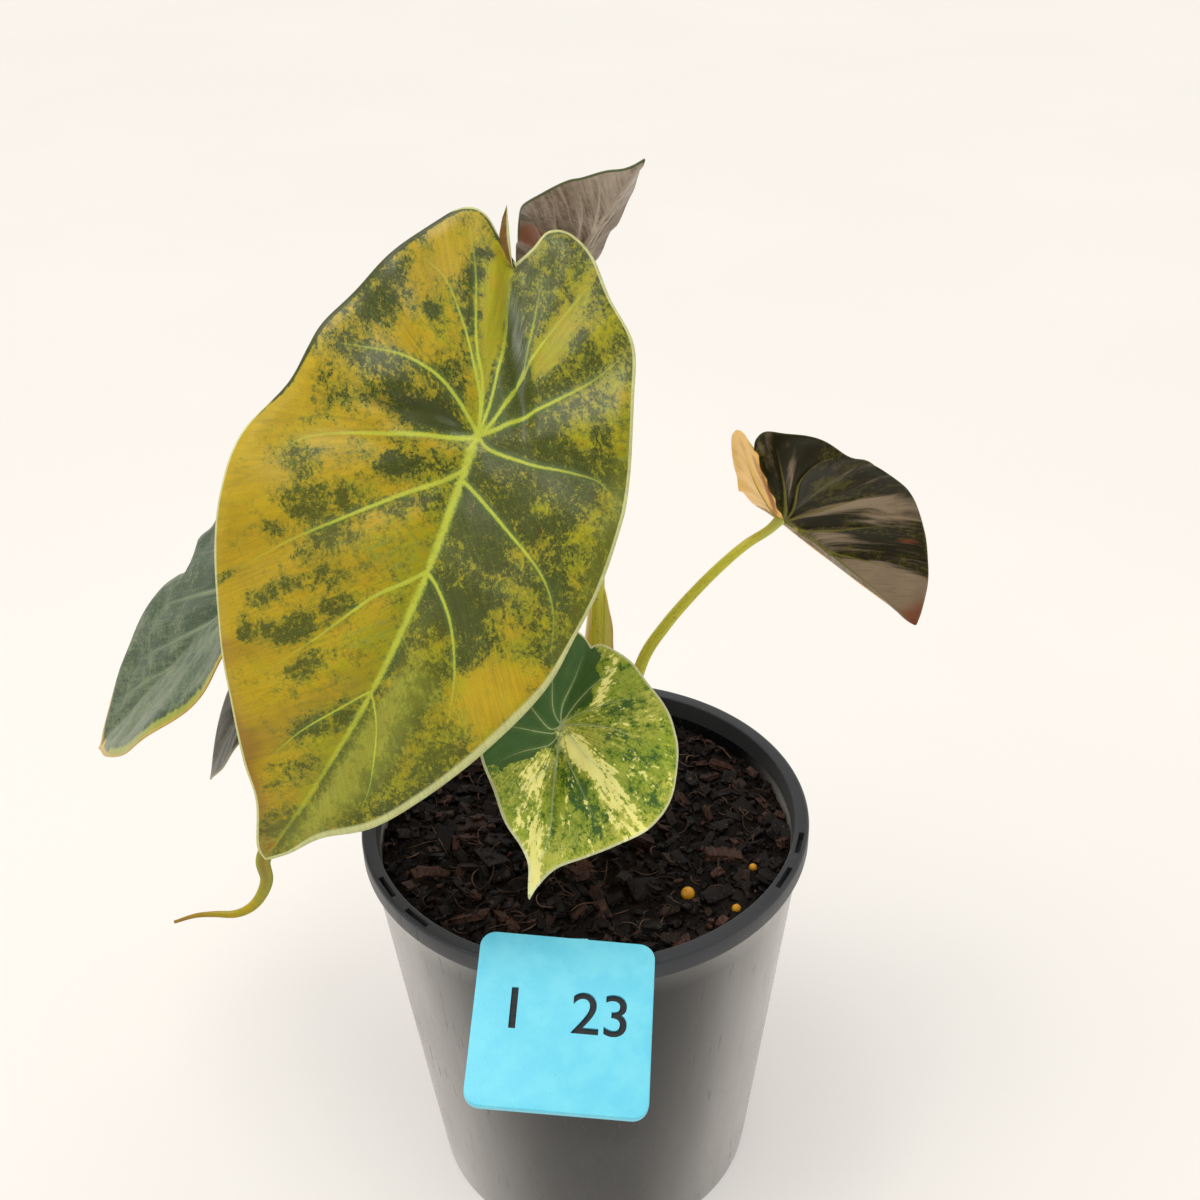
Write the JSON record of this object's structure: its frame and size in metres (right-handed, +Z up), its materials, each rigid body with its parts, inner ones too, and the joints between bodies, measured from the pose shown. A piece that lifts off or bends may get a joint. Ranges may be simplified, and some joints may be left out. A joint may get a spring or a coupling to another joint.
{
  "type": "potted alocasia wentii",
  "caption": "Young variegated alocasia with heart-shaped leaves on slender stalks, in a round tapered nursery pot of bark mix with a square number tag on the rim.",
  "frame": {"origin": "centre of the pot's base, on the surface it stands on", "axes": "+Z up along the pot's axis, -Y towards the front, where the number tag and the face of the largest leaf are, +X to the right"},
  "size_m": [0.2529, 0.1668, 0.3195],
  "materials": {
    "pot_black": "glossy moulded black polypropylene with fine scuffs and a duller grey rim",
    "bark_mix": "moist dark potting mix of composted fines and red-brown pine bark chips",
    "prill_amber": "smooth resin-coated amber fertiliser beads",
    "crown_tissue": "dull fibrous brown-green stem base",
    "stalk_green": "satin olive green stalk with fine dark specks and lines along it",
    "leaf_gold": "glossy gold leaf with dark green mottle, raised lime veins and a cream margin, red-brown beneath",
    "leaf_lime": "glossy leaf with lime, cream and dark green streaks, and a cream margin",
    "leaf_bronze": "satin bronze-purple leaf underside with paler ribs and a tan sector, dark green above",
    "leaf_dark": "glossy dark grey-green leaf with pale veins and a fine yellow-green margin",
    "tag_blue": "light blue printed plastic with fine print lines and black-filled sunk figures"
  },
  "bodies": {
    "root": {"pot": "pot_black", "potting_mix": "bark_mix", "fertiliser_prill_1": "prill_amber", "fertiliser_prill_2": "prill_amber", "fertiliser_prill_3": "prill_amber", "crown": "crown_tissue", "leaf_stalk_large": "stalk_green", "leaf_stalk_front": "stalk_green", "leaf_stalk_right": "stalk_green", "leaf_stalk_upright": "stalk_green", "leaf_stalk_left": "stalk_green", "leaf_stalk_low": "stalk_green", "leaf_blade_large": "leaf_gold", "leaf_blade_front": "leaf_lime", "leaf_blade_right": "leaf_bronze", "leaf_blade_upright": "leaf_bronze", "leaf_blade_left": "leaf_dark", "leaf_blade_low": "leaf_dark", "number_tag": "tag_blue"}
  },
  "joints": []
}
